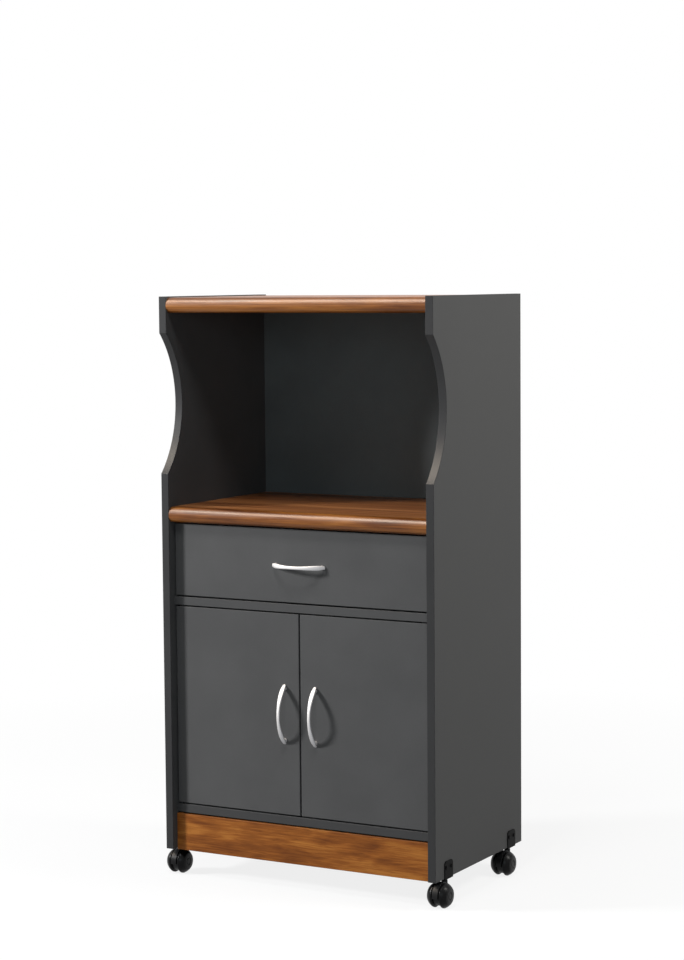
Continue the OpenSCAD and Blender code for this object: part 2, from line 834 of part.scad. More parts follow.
module strike_right() { color(steel) strike(); }
module strike_left() { color(steel) mirror([1, 0, 0]) strike(); }

// ---- Casters ----

// Corner bracket: one leaf on the side panel, one under it round the socket
module caster_bracket(y) {
    difference() {
        union() {
            translate([cart_w / 2, y - bracket_w / 2, panel_z - bracket_t])
                cube([bracket_t, bracket_w, bracket_h + bracket_t]);
            translate([inner_x, y - bracket_w / 2, panel_z - bracket_t])
                cube([board_t + bracket_t, bracket_w, bracket_t]);
        }
        rod_z([panel_mid_x, y, panel_z - bracket_t - past], socket_d + 2 * fit_gap,
            bracket_t + 2 * past);
        for (s = [-1, 1])
            rod_x([cart_w / 2 - past, y + s * bracket_screw_pitch / 2, bracket_screw_z],
                screw_d + 2 * fit_gap, bracket_t + 2 * past);
    }
}

module caster_brackets() {
    color(black) both_sides()
        for (y = caster_ys)
            caster_bracket(y);
}

module bracket_screws() {
    color(black) both_sides()
        for (y = caster_ys, s = [-1, 1])
            translate([cart_w / 2 + bracket_t, y + s * bracket_screw_pitch / 2, bracket_screw_z])
                mirror([1, 0, 0]) wood_screw(screw_grip, bracket_t);
}

// Sleeve in the side panel's lower edge, with a flange under the bracket
module caster_socket(y) {
    difference() {
        union() {
            rod_z([panel_mid_x, y, socket_low_z], socket_flange_d, socket_flange_h);
            rod_z([panel_mid_x, y, socket_low_z], socket_d, panel_z + socket_l - socket_low_z);
        }
        rod_z([panel_mid_x, y, socket_low_z - past], stem_d + 2 * turn_gap,
            stem_top_z + 0.5 - socket_low_z + past);
    }
}

module caster_sockets() {
    color(steel) both_sides()
        for (y = caster_ys)
            caster_socket(y);
}

// Moves a caster's shapes from its own swivel axis to its place; they trail to the front
module at_caster(side, y) {
    translate([side * panel_mid_x, y, 0]) children();
}

// Fork plate: the hood between the wheels, the stem's boss and two stub axles
module fork() {
    difference() {
        union() {
            intersection() {
                rod_x([-fork_t / 2, -trail, axle_z], 2 * hood_r, fork_t);
                translate([-fork_t, -trail - 2 * hood_r, axle_z - 3])
                    cube([2 * fork_t, 4 * hood_r, 2 * hood_r]);
            }
            rod_x([-fork_t / 2, -trail, axle_z], 1.6 * hood_r, fork_t);
            rod_z([0, 0, axle_z - 3], fork_t, fork_top_z - axle_z + 3);
            rod_x([-fork_t / 2 - wheel_gap - axle_bore_l + 1, -trail, axle_z], axle_d,
                fork_t + 2 * (wheel_gap + axle_bore_l - 1));
        }
        rod_z([0, 0, stem_low_z], stem_d + 2 * fit_gap, wheel_d);
    }
}

module stem() { rod_z([0, 0, stem_low_z + fit_gap], stem_d, stem_top_z - stem_low_z - fit_gap); }

// Half section of a wheel: radius along x, distance from the caster's middle along y. The
// outer face is an arc about the caster's middle, and a ring is hollow towards the fork.
module wheel_section() {
    hub_r = axle_d / 2 + wheel_wall;
    difference() {
        intersection() {
            translate([0, wheel_x]) square([wheel_d / 2, wheel_w]);
            circle(r = wheel_ball_r);
        }
        translate([hub_r, wheel_x - past])
            square([wheel_d / 2 - wheel_wall - hub_r, past + wheel_w * wheel_hollow]);
        translate([-past, wheel_x - past])
            square([past + axle_d / 2 + turn_gap, past + axle_bore_l]);
    }
}

// Outer wheel of a right-hand caster
module wheel() {
    translate([0, -trail, axle_z]) rotate([0, 90, 0]) rotate_extrude() wheel_section();
}

// The wheel on the other side of the same fork
module far_wheel() { mirror([1, 0, 0]) wheel(); }

module fork_front_left() { color(black) at_caster(-1, caster_front_y) fork(); }
module stem_front_left() { color(steel) at_caster(-1, caster_front_y) stem(); }
module wheel_front_left_inner() { color(black) at_caster(-1, caster_front_y) wheel(); }
module wheel_front_left_outer() { color(black) at_caster(-1, caster_front_y) far_wheel(); }

module fork_front_right() { color(black) at_caster(1, caster_front_y) fork(); }
module stem_front_right() { color(steel) at_caster(1, caster_front_y) stem(); }
module wheel_front_right_inner() { color(black) at_caster(1, caster_front_y) far_wheel(); }
module wheel_front_right_outer() { color(black) at_caster(1, caster_front_y) wheel(); }

module fork_back_left() { color(black) at_caster(-1, caster_back_y) fork(); }
module stem_back_left() { color(steel) at_caster(-1, caster_back_y) stem(); }
module wheel_back_left_inner() { color(black) at_caster(-1, caster_back_y) wheel(); }
module wheel_back_left_outer() { color(black) at_caster(-1, caster_back_y) far_wheel(); }

module fork_back_right() { color(black) at_caster(1, caster_back_y) fork(); }
module stem_back_right() { color(steel) at_caster(1, caster_back_y) stem(); }
module wheel_back_right_inner() { color(black) at_caster(1, caster_back_y) far_wheel(); }
module wheel_back_right_outer() { color(black) at_caster(1, caster_back_y) wheel(); }

side_panel_left();
side_panel_right();
top_board();
top_nosing();
shelf_board();
shelf_nosing();
divider_board();
bottom_board();
toe_kick();
back_panel();
cam_locks();
cam_bolts();
dowels();
wood_screws();
runner_left();
runner_right();
front_rollers();
pivot_bushes();
catches();
caster_brackets();
bracket_screws();
caster_sockets();
drawer_front();
drawer_side_left();
drawer_side_right();
drawer_back();
drawer_bottom();
drawer_dowels();
slide_left();
slide_right();
slide_screws();
rear_rollers();
drawer_handle();
drawer_handle_screws();
door_left();
door_handle_left();
door_screws_left();
pivot_pins_left();
strike_left();
door_right();
door_handle_right();
door_screws_right();
pivot_pins_right();
strike_right();
fork_front_left();
stem_front_left();
wheel_front_left_inner();
wheel_front_left_outer();
fork_front_right();
stem_front_right();
wheel_front_right_inner();
wheel_front_right_outer();
fork_back_left();
stem_back_left();
wheel_back_left_inner();
wheel_back_left_outer();
fork_back_right();
stem_back_right();
wheel_back_right_inner();
wheel_back_right_outer();
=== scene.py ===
"""Appearance of the microwave cart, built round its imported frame.

Boards, fronts, nosings, handles and casters get meshes of their own, with eased edges and
edge bands. The joinery and the runners keep the frame's meshes. Every finish is procedural.
Lengths are in metres, +Z is up and the front faces -Y.
"""

import functools
import logging
import math
import operator
from dataclasses import dataclass, replace
from enum import Enum
from typing import Sequence, Union

import bmesh
import bpy
import numpy as np
from mathutils import Matrix, Vector


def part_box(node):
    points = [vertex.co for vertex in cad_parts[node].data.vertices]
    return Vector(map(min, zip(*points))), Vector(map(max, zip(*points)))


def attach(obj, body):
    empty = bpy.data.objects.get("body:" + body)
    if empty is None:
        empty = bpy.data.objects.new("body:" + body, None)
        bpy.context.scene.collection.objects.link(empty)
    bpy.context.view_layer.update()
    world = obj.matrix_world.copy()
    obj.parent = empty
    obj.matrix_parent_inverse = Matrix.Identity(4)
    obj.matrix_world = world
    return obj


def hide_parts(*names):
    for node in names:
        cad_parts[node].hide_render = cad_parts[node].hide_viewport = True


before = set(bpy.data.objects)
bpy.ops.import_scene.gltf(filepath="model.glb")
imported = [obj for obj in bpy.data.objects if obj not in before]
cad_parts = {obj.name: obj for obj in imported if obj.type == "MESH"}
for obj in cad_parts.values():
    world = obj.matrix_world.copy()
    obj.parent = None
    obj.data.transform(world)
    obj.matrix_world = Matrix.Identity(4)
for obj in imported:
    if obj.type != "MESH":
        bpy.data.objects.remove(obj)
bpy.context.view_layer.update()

MERGE_DISTANCE = 1e-7
BEVEL_SEGMENTS = 3

log = logging.getLogger("microwave_cart")

Array = np.ndarray
Colour = tuple[float, float, float]
Point = tuple[float, float, float]
Socket = bpy.types.NodeSocket
Number = Union[Socket, float]
Value = Union[Socket, float, Sequence[float]]


class Slot(Enum):
    """Material slots of the part's record."""

    CHARCOAL = "charcoal_laminate"
    CHERRY = "cherry_laminate"
    HARDBOARD = "dark_hardboard"
    DRAWER_BOARD = "drawer_board"
    BEECH = "beech"
    SILVER = "satin_silver"
    ZINC = "zinc_steel"
    NYLON = "nylon"
    BLACK_PLASTIC = "black_plastic"
    BLACK_WHEEL = "black_wheel"
    BLACK_STEEL = "black_steel"


class Axis(Enum):
    """Directions of an extrusion or of a turning axis, as column numbers."""

    X = 0
    Y = 1
    Z = 2


class Side(Enum):
    """Sides of the cart, as the sign of x."""

    LEFT = -1
    RIGHT = 1

    @property
    def word(self) -> str:
        """Name of the side as it stands in node names."""
        return self.name.lower()


# ---- Shapes ----


@dataclass
class Shape:
    """A closed mesh before it becomes an object.

    Attributes:
        points: vertices, one row of x, y, z each.
        faces: groups of faces with the same number of corners, one row of vertex numbers each.
    """

    points: Array
    faces: list[Array]

    def __add__(self, other: "Shape") -> "Shape":
        """Both shapes in one, each with its own vertices."""
        shifted = [group + len(self.points) for group in other.faces]
        return Shape(np.vstack((self.points, other.points)), self.faces + shifted)

    def moved(self, offset: Sequence[float]) -> "Shape":
        """The shape moved by an offset."""
        return Shape(self.points + np.asarray(offset, float), self.faces)

    def sided(self, side: Side) -> "Shape":
        """The shape as it is for the right-hand side, and mirrored in x = 0 for the left."""
        return Shape(self.points * (side.value, 1.0, 1.0), self.faces)

    def turned(self, angle: float, axis: Axis) -> "Shape":
        """The shape turned by an angle in radians about an axis through the origin."""
        turn = np.array(Matrix.Rotation(angle, 3, axis.name))
        return Shape(self.points @ turn.T, self.faces)


def lifted(plane_points: Array, height: float, axis: Axis) -> Array:
    """Places plane points in space.

    Args:
        plane_points: rows of the two coordinates other than the axis's, in x, y, z order.
        height: the coordinate along the axis.
        axis: the direction that the plane faces.

    Returns:
        Rows of x, y, z.
    """
    return np.insert(plane_points, axis.value, height, axis=1)


def prism(outline: Array, low: float, high: float, axis: Axis) -> Shape:
    """Closed prism over a plane outline.

    Vertex i of the lower end is (outline[i], low) and vertex n + i of the upper end is
    (outline[i], high), for an outline of n points.

    Args:
        outline: corners of the outline, in order.
        low: coordinate of the lower end along the axis.
        high: coordinate of the upper end along the axis.
        axis: direction of the prism.

    Returns:
        The prism, with one face per outline edge and one per end.
    """
    n = len(outline)
    i = np.arange(n)
    j = np.roll(i, -1)
    sides = np.column_stack((i, j, j + n, i + n))
    ends = np.vstack((i[::-1], i + n))
    points = np.vstack((lifted(outline, low, axis), lifted(outline, high, axis)))
    return Shape(points, [sides, ends])


def strip_prism(first: Array, second: Array, low: float, high: float, axis: Axis) -> Shape:
    """Closed prism over the strip between two plane lines with as many points each.

    Ring i has the corners (first[i], low), (second[i], low), (second[i], high) and
    (first[i], high), so that its ends are quadrangles where the strip bends.

    Args:
        first: points of one long edge.
        second: points of the other long edge.
        low: coordinate of the lower end along the axis.
        high: coordinate of the upper end along the axis.
        axis: direction of the prism.

    Returns:
        The prism.
    """
    rings = [lifted(first, low, axis), lifted(second, low, axis),
             lifted(second, high, axis), lifted(first, high, axis)]
    return skin(np.stack(rings, axis=1), capped=True)


def rectangle(low: Sequence[float], high: Sequence[float]) -> Array:
    """Corners of a rectangle from the lower left one on, counter-clockwise."""
    return np.array([(low[0], low[1]), (high[0], low[1]), (high[0], high[1]), (low[0], high[1])])


def block(low: Sequence[float], high: Sequence[float]) -> Shape:
    """Board between two opposite corners."""
    return prism(rectangle(low, high), low[2], high[2], Axis.Z)


def skin(grid: Array, capped: bool) -> Shape:
    """Closed surface over rings of points.

    Point (i, j) of the grid joins (i, j + 1), with the last of a ring joined to its first,
    and (i + 1, j). Rings join in a loop too, unless the ends are capped.

    Args:
        grid: array of rings x points x 3.
        capped: whether the first and last rings are closed with a face each.

    Returns:
        The surface as quadrangles, and as two caps if asked for.
    """
    rings, count = grid.shape[:2]
    number = np.arange(rings * count).reshape(rings, count)
    here = number[:-1] if capped else number
    there = number[1:] if capped else np.roll(number, -1, axis=0)
    quads = np.stack((here, np.roll(here, -1, 1), np.roll(there, -1, 1), there), axis=-1)
    faces = [quads.reshape(-1, 4)]
    if capped:
        faces.append(np.vstack((number[0][::-1], number[-1])))
    return Shape(grid.reshape(-1, 3), faces)


def lathe(section: Array, axis: Axis, count: int = 64) -> Shape:
    """Turned piece about an axis through the origin.

    Point (r, h) of the section at angle t lies at h along the axis and at r cos t, r sin t
    across it, for count angles t round the whole turn.

    Args:
        section: closed outline of rows (radius, height along the axis).
        axis: the turning axis.
        count: steps round the turn.

    Returns:
        The turned piece. Points on the axis coincide and are merged in the object.
    """
    t = np.linspace(0.0, 2.0 * math.pi, count, endpoint=False)[:, None]
    radius, height = section[:, 0], section[:, 1]
    along = np.broadcast_to(height, (count, len(section)))
    columns = [radius * np.cos(t), radius * np.sin(t)]
    columns.insert(axis.value, along)
    return skin(np.stack(columns, axis=-1), capped=False)


def arc(centre: Sequence[float], radius: float, start: float, end: float, count: int) -> Array:
    """Points centre + radius (cos t, sin t), with t from start to end in radians."""
    t = np.linspace(start, end, count)
    return np.asarray(centre, float) + radius * np.column_stack((np.cos(t), np.sin(t)))


def rounded_rectangle(
    low: Sequence[float], high: Sequence[float], radii: Sequence[float], count: int = 9
) -> Array:
    """Rectangle with rounded corners.

    Args:
        low: lower left corner.
        high: upper right corner.
        radii: of the lower left, lower right, upper right and upper left corner.
        count: points per corner.

    Returns:
        The outline, counter-clockwise.
    """
    inward = [(1, 1), (-1, 1), (-1, -1), (1, -1)]
    starts = [math.pi, 1.5 * math.pi, 0.0, 0.5 * math.pi]
    return np.vstack([
        arc(corner + np.multiply(way, r), r, start, start + math.pi / 2, count)
        for corner, way, start, r in zip(rectangle(low, high), inward, starts, radii)
    ])


def smooth_step(value: Array, low: float, high: float) -> Array:
    """3 s^2 - 2 s^3 with s = (value - low) / (high - low), held between 0 and 1."""
    s = np.clip((value - low) / (high - low), 0.0, 1.0)
    return s * s * (3.0 - 2.0 * s)


# ---- Finishes ----


def dimmed(colour: Colour, share: float) -> Colour:
    """The colour multiplied by a share."""
    return tuple(channel * share for channel in colour)


class Graph:
    """Node tree of a material or of the world, written one node per call."""

    def __init__(self, owner: bpy.types.Material | bpy.types.World) -> None:
        """Takes up the node tree of its owner."""
        owner.use_nodes = True
        self.tree = owner.node_tree

    def put(self, target: Socket, value: Value) -> None:
        """Links a socket to the target, or sets the target's own value."""
        if isinstance(value, bpy.types.NodeSocket):
            self.tree.links.new(value, target)
        else:
            target.default_value = value

    def place(self, scale: Sequence[float]) -> Socket:
        """Object coordinates in metres, multiplied by a scale per axis."""
        coordinates = self.tree.nodes.new("ShaderNodeTexCoord")
        mapping = self.tree.nodes.new("ShaderNodeMapping")
        self.put(mapping.inputs["Vector"], coordinates.outputs["Object"])
        self.put(mapping.inputs["Scale"], tuple(scale))
        return mapping.outputs["Vector"]

    def noise(self, place: Socket, detail: float = 3.0, distortion: float = 0.0) -> Socket:
        """Noise from 0 to 1, one feature per unit of the place."""
        node = self.tree.nodes.new("ShaderNodeTexNoise")
        self.put(node.inputs["Vector"], place)
        self.put(node.inputs["Scale"], 1.0)
        self.put(node.inputs["Detail"], detail)
        self.put(node.inputs["Distortion"], distortion)
        return node.outputs["Fac"]

    def remap(self, value: Socket, low: float, high: float, to_low: float, to_high: float) -> Socket:
        """The value's range low to high spread over to_low to to_high, held at the ends."""
        node = self.tree.nodes.new("ShaderNodeMapRange")
        self.put(node.inputs["Value"], value)
        self.put(node.inputs["From Min"], low)
        self.put(node.inputs["From Max"], high)
        self.put(node.inputs["To Min"], to_low)
        self.put(node.inputs["To Max"], to_high)
        return node.outputs["Result"]

    def spread(self, noise: Socket, low: float, high: float) -> Socket:
        """Noise spread over low to high, from the 0.3 to 0.7 that most of it lies between."""
        return self.remap(noise, 0.3, 0.7, low, high)

    def about(self, noise: Socket, mean: float, share: float) -> Socket:
        """Noise as a value that varies about its mean by a share of it."""
        return self.spread(noise, mean * (1.0 - share), mean * (1.0 + share))

    def math(self, operation: str, a: Number, b: Number) -> Socket:
        """Result of one arithmetic operation."""
        node = self.tree.nodes.new("ShaderNodeMath")
        node.operation = operation
        self.put(node.inputs[0], a)
        self.put(node.inputs[1], b)
        return node.outputs["Value"]

    def ramp(self, value: Socket, stops: Sequence[tuple[float, Colour]]) -> Socket:
        """Colour of the value on a ramp of (position, colour) stops."""
        node = self.tree.nodes.new("ShaderNodeValToRGB")
        band = node.color_ramp
        while len(band.elements) < len(stops):
            band.elements.new(1.0)
        for element, (position, colour) in zip(band.elements, stops):
            element.position = position
            element.color = (*colour, 1.0)
        self.put(node.inputs["Fac"], value)
        return node.outputs["Color"]

    def shade(self, colour: Socket, factor: Socket) -> Socket:
        """The colour multiplied by a factor."""
        node = self.tree.nodes.new("ShaderNodeVectorMath")
        node.operation = "SCALE"
        self.put(node.inputs["Vector"], colour)
        self.put(node.inputs["Scale"], factor)
        return node.outputs["Vector"]

    def seen_rays(self) -> Socket:
        """1 for rays from the camera, for reflections and through glass, 0 for other light."""
        path = self.tree.nodes.new("ShaderNodeLightPath").outputs
        bounced = self.math("MAXIMUM", path["Is Glossy Ray"], path["Is Transmission Ray"])
        return self.math("MAXIMUM", path["Is Camera Ray"], bounced)


class MaterialGraph(Graph):
    """Node tree of one material round its Principled shader."""

    def __init__(self, name: str) -> None:
        """Starts a material with a Principled shader."""
        self.material = bpy.data.materials.new(name)
        super().__init__(self.material)
        self.shader = self.tree.nodes["Principled BSDF"]

    def bump(self, height: Socket, depth: float) -> None:
        """Gives the shader a relief of a depth in metres."""
        node = self.tree.nodes.new("ShaderNodeBump")
        self.put(node.inputs["Height"], height)
        self.put(node.inputs["Distance"], depth)
        self.put(self.shader.inputs["Normal"], node.outputs["Normal"])

    def finish(self, **inputs: Value) -> bpy.types.Material:
        """Sets the shader's inputs, named with underscores for spaces, and returns the material."""
        for name, value in inputs.items():
            self.put(self.shader.inputs[name.replace("_", " ")], value)
        return self.material


@dataclass(frozen=True)
class Mottled:
    """Moulded, painted or coated surface: one colour with fine mottling and a fine relief.

    Attributes:
        colour: mean colour, linear.
        spread: share by which the colour varies.
        grain: size of the fine relief's features.
        relief: depth of the relief.
        roughness: mean roughness.
        metallic: 1 for bare metal.
        gloss: strength of the reflection, 0.5 for ordinary plastic.
    """

    colour: Colour
    spread: float = 0.1
    grain: float = 0.0006
    relief: float = 0.00002
    roughness: float = 0.45
    metallic: float = 0.0
    gloss: float = 0.5

    def material(self, name: str) -> bpy.types.Material:
        """Builds the material."""
        g = MaterialGraph(name)
        fine = g.noise(g.place([1.0 / self.grain] * 3), detail=2.0)
        broad = g.noise(g.place([9.0] * 3), detail=4.0)
        tone = g.math("MULTIPLY", g.about(fine, 1.0, self.spread),
                      g.about(broad, 1.0, self.spread / 2))
        clouds = g.ramp(broad, [(0.35, dimmed(self.colour, 0.96)), (0.65, self.colour)])
        g.bump(fine, self.relief)
        return g.finish(Base_Color=g.shade(clouds, tone), Metallic=self.metallic,
                        Specular_IOR_Level=self.gloss,
                        Roughness=g.about(broad, self.roughness, 0.12))


@dataclass(frozen=True)
class Brushed:
    """Brushed or satin metal: fine scratches along one axis.

    Attributes:
        colour: reflection colour, linear.
        along: axis of the scratches.
        roughness: mean roughness.
        fine: scratches per metre across their run.
        run: scratches per metre along it.
    """

    colour: Colour
    along: Axis = Axis.X
    roughness: float = 0.3
    fine: float = 2600.0
    run: float = 60.0

    def material(self, name: str) -> bpy.types.Material:
        """Builds the material."""
        g = MaterialGraph(name)
        scale = [self.fine] * 3
        scale[self.along.value] = self.run
        scratches = g.noise(g.place(scale), detail=2.0)
        broad = g.noise(g.place([30.0] * 3), detail=3.0)
        clouds = g.ramp(broad, [(0.3, dimmed(self.colour, 0.94)), (0.7, self.colour)])
        g.bump(scratches, 0.000008)
        return g.finish(Base_Color=g.shade(clouds, g.spread(scratches, 0.95, 1.03)),
                        Metallic=1.0, Roughness=g.about(scratches, self.roughness, 0.15))


@dataclass(frozen=True)
class Wood:
    """Wood grain along X: broad figure, growth lines, fibres and pores.

    Attributes:
        dark: colour of the darkest lines, linear.
        mid: mean colour, linear.
        light: colour of the lightest streaks, linear.
        figure: how far the growth lines wander from straight.
        lines: growth lines per metre across the grain.
        run: streaks per metre along the grain.
        roughness: mean roughness.
        coat: weight of a clear coat.
        gloss: strength of the reflection, 0.5 for ordinary varnish.
    """

    dark: Colour
    mid: Colour
    light: Colour
    figure: float = 1.0
    lines: float = 160.0
    run: float = 3.0
    roughness: float = 0.4
    coat: float = 0.0
    gloss: float = 0.4

    def material(self, name: str) -> bpy.types.Material:
        """Builds the material."""
        g = MaterialGraph(name)
        across = self.lines / 8.0
        broad = g.noise(g.place((0.6 * self.run, across, across)), detail=2.0,
                        distortion=0.6 * self.figure)
        growth = g.noise(g.place((self.run, self.lines, self.lines)), detail=3.0,
                         distortion=0.9 * self.figure)
        fibre = g.noise(g.place((22.0, 1500.0, 1500.0)), detail=3.0)
        pores = g.noise(g.place((70.0, 1100.0, 1100.0)), detail=1.0)
        weight = 0.55
        mix = g.math("ADD", g.math("MULTIPLY", broad, weight),
                     g.math("MULTIPLY", growth, 1.0 - weight))
        colour = g.ramp(mix, [(0.36, self.dark), (0.5, self.mid), (0.64, self.light)])
        tone = g.math("MULTIPLY", g.spread(fibre, 0.86, 1.12),
                      g.remap(pores, 0.24, 0.36, 0.72, 1.0))
        g.bump(g.math("MULTIPLY", pores, fibre), 0.00003)
        return g.finish(Base_Color=g.shade(colour, tone), Coat_Weight=self.coat,
                        Coat_Roughness=g.remap(growth, 0.35, 0.65, 0.24, 0.42),
                        Specular_IOR_Level=self.gloss,
                        Roughness=g.spread(fibre, self.roughness * 0.9,
                                           self.roughness * 1.15))


Finish = Mottled | Brushed | Wood


def edging(grey: float) -> Mottled:
    """Smooth edge banding of a grey, linear."""
    return Mottled((grey, grey, grey + 0.001), spread=0.05, grain=0.0004, roughness=0.35,
                   gloss=0.1)


CHARCOAL = Mottled((0.080, 0.080, 0.081), spread=0.07, grain=0.0007, roughness=0.5, gloss=0.06)
EDGE_BAND = edging(0.038)
RAIL_BAND = edging(0.070)
SILL_BAND = edging(0.050)
CHERRY = Wood((0.11, 0.030, 0.007), (0.26, 0.088, 0.023), (0.44, 0.18, 0.06),
              figure=0.6, lines=240.0, run=2.4, roughness=0.4, coat=0.25, gloss=0.15)
CHERRY_NOSING = Wood((0.065, 0.0150, 0.0020), (0.170, 0.050, 0.0062), (0.30, 0.107, 0.017),
                     figure=0.9, lines=260.0, run=7.0, roughness=0.4, coat=0.5, gloss=0.05)
CHERRY_FIGURED = Wood((0.14, 0.038, 0.0046), (0.25, 0.077, 0.011), (0.38, 0.140, 0.025),
                      figure=1.3, lines=260.0, run=14.0, roughness=0.5, gloss=0.15)

FINISHES: dict[Slot, Finish] = {
    Slot.CHARCOAL: CHARCOAL,
    Slot.CHERRY: CHERRY,
    # The back panel's tone is lighter and cooler than the charcoal sides: painted light that
    # brightens the shaded bay and offsets the warm light bounced off the cherry boards.
    Slot.HARDBOARD: Mottled((0.112, 0.126, 0.130), spread=0.16, grain=0.0011, roughness=0.62,
                            gloss=0.2),
    Slot.DRAWER_BOARD: Mottled((0.60, 0.54, 0.44), spread=0.06, grain=0.0016, roughness=0.55),
    Slot.BEECH: Wood((0.42, 0.26, 0.12), (0.60, 0.42, 0.23), (0.72, 0.54, 0.33), lines=700.0,
                     figure=0.3, roughness=0.6),
    Slot.SILVER: Brushed((0.46, 0.46, 0.47), roughness=0.66),
    Slot.ZINC: Mottled((0.62, 0.63, 0.65), spread=0.08, grain=0.0012, relief=0.00001,
                       roughness=0.34, metallic=1.0),
    Slot.NYLON: Mottled((0.80, 0.80, 0.77), spread=0.04, roughness=0.42),
    Slot.BLACK_PLASTIC: Mottled((0.007, 0.007, 0.0075), spread=0.12, roughness=0.4, gloss=0.12),
    Slot.BLACK_WHEEL: Mottled((0.003, 0.003, 0.0033), spread=0.15, grain=0.0009,
                              relief=0.00001, roughness=0.3, gloss=0.1),
    Slot.BLACK_STEEL: Mottled((0.004, 0.004, 0.0042), spread=0.1, grain=0.0005,
                              roughness=0.45, gloss=0.03),
}


# ---- Pieces ----


class Workshop:
    """Turns shapes into pieces of the cart and gives the frame's nodes their finishes."""

    def __init__(self) -> None:
        """Starts with no material and no piece."""
        self.materials: dict[tuple[Slot, Finish], bpy.types.Material] = {}
        self.count = 0

    def material(self, slot: Slot, finish: Finish | None = None) -> bpy.types.Material:
        """The slot's material, or the one of a finish that stands in for it, built once."""
        chosen = finish or FINISHES[slot]
        key = (slot, chosen)
        if key not in self.materials:
            self.materials[key] = chosen.material(f"{slot.value}_{len(self.materials)}")
        return self.materials[key]

    def piece(
        self,
        name: str,
        shape: Shape,
        slot: Slot,
        body: str,
        stands_for: Sequence[str] = (),
        ease: float = 0.0,
        finish: Finish | None = None,
        smooth: float = 40.0,
    ) -> bpy.types.Object:
        """Makes one piece.

        Args:
            name: of the object.
            shape: closed mesh, in the cart's frame.
            slot: material slot of the record.
            body: CAD body that the piece moves with.
            stands_for: CAD nodes that the piece is shown in place of.
            ease: width of the rounding on its sharp edges, 0 for none.
            finish: in place of the slot's own.
            smooth: largest angle in degrees that is shaded as a curve.

        Returns:
            The object, at the origin.
        """
        mesh = bpy.data.meshes.new(name)
        faces = [row for group in shape.faces for row in group.tolist()]
        mesh.from_pydata(shape.points.tolist(), [], faces)
        work = bmesh.new()
        work.from_mesh(mesh)
        bmesh.ops.remove_doubles(work, verts=work.verts, dist=MERGE_DISTANCE)
        bmesh.ops.recalc_face_normals(work, faces=work.faces)
        work.to_mesh(mesh)
        work.free()
        mesh.polygons.foreach_set("use_smooth", np.ones(len(mesh.polygons), bool))
        mesh.set_sharp_from_angle(angle=math.radians(smooth))
        mesh.materials.append(self.material(slot, finish))
        made = bpy.data.objects.new(name, mesh)
        bpy.context.scene.collection.objects.link(made)
        if ease > 0.0:
            bevel = made.modifiers.new("Eased edges", "BEVEL")
            bevel.width = ease
            bevel.segments = BEVEL_SEGMENTS
            bevel.limit_method = "ANGLE"
            bevel.angle_limit = math.radians(smooth)
            bevel.harden_normals = True
        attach(made, body)
        if stands_for:
            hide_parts(*stands_for)
        self.count += 1
        log.info("piece %s on %s", name, body)
        return made

    def keep(self, slot: Slot, *nodes: str, finish: Finish | None = None) -> None:
        """Gives CAD nodes that stay shown their finish."""
        for node in nodes:
            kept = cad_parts[node]
            kept.data.materials.clear()
            kept.data.materials.append(self.material(slot, finish))
            self.count += 1
            log.info("node %s keeps its mesh", node)


@dataclass
class SidePanel:
    """Side panel with a curved cut in its front edge, and the edge band that follows it.

    Attributes:
        side: which side of the cart.
        cut_length: of the cut along the front edge.
        cut_depth: of the cut.
        cut_rise: height of the cut's middle above the shelf board.
        band: thickness of the edge band.
        ease: rounding of the sharp edges.
    """

    side: Side
    cut_length: float = 0.275
    cut_depth: float = 0.054
    cut_rise: float = 0.2035
    band: float = 0.0012
    ease: float = 0.0009

    def front_line(self, inset: float) -> Array:
        """Front edge from bottom to top, moved back by an inset.

        Straight parts lie at y0 + inset, and the cut is an arc of radius R + inset with
        R = ((length / 2)^2 + depth^2) / (2 depth) about (y0 + depth - R, z of the middle).

        Args:
            inset: distance behind the real edge.

        Returns:
            Rows of y, z.
        """
        low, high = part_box(f"side_panel_{self.side.word}")
        radius = ((self.cut_length / 2) ** 2 + self.cut_depth**2) / (2 * self.cut_depth)
        middle = (low.y + self.cut_depth - radius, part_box("shelf_board")[1].z + self.cut_rise)
        front = low.y + inset
        half_turn = math.acos((front - middle[0]) / (radius + inset))
        curve = arc(middle, radius + inset, -half_turn, half_turn, 72)
        return np.vstack(((front, low.z), curve, (front, high.z)))

    def build(self, shop: Workshop) -> None:
        """Makes the panel's core and its front and rear edge bands."""
        word = self.side.word
        low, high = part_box("side_panel_right")
        seam = self.front_line(self.band)
        back = np.column_stack((np.full(len(seam), high.y - self.band), seam[:, 1]))
        core = strip_prism(seam, back, low.x, high.x, Axis.X)
        band = strip_prism(self.front_line(0.0), seam, low.x, high.x, Axis.X)
        rear = block((low.x, high.y - self.band, low.z), high)
        shop.piece(f"side_panel_{word}_core", core.sided(self.side), Slot.CHARCOAL, "cart",
                   [f"side_panel_{word}"], ease=self.ease / 3)
        shop.piece(f"side_panel_{word}_band", band.sided(self.side), Slot.CHARCOAL, "cart",
                   ease=self.ease, finish=EDGE_BAND)
        shop.piece(f"side_panel_{word}_rear_band", rear.sided(self.side), Slot.CHARCOAL, "cart",
                   ease=self.ease, finish=RAIL_BAND)


@dataclass
class Nosing:
    """Bullnose strip along the front of a shelf.

    Attributes:
        node: CAD node of the strip.
        radius: of its two front edges.
        seam: rounding of the rear upper edge, which shows as a line beside the board.
        heel: rounding of the rear lower edge.
    """

    node: str
    radius: float = 0.014
    seam: float = 0.0006
    heel: float = 0.0003

    def build(self, shop: Workshop) -> None:
        """Makes the strip."""
        low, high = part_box(self.node)
        radii = (self.radius, self.heel, self.seam, self.radius)
        outline = rounded_rectangle((low.y, low.z), (high.y, high.z), radii, 13)
        shape = prism(outline, low.x, high.x, Axis.X)
        shop.piece(f"{self.node}_strip", shape, Slot.CHERRY, "cart", [self.node], smooth=50.0,
                   finish=CHERRY_NOSING)


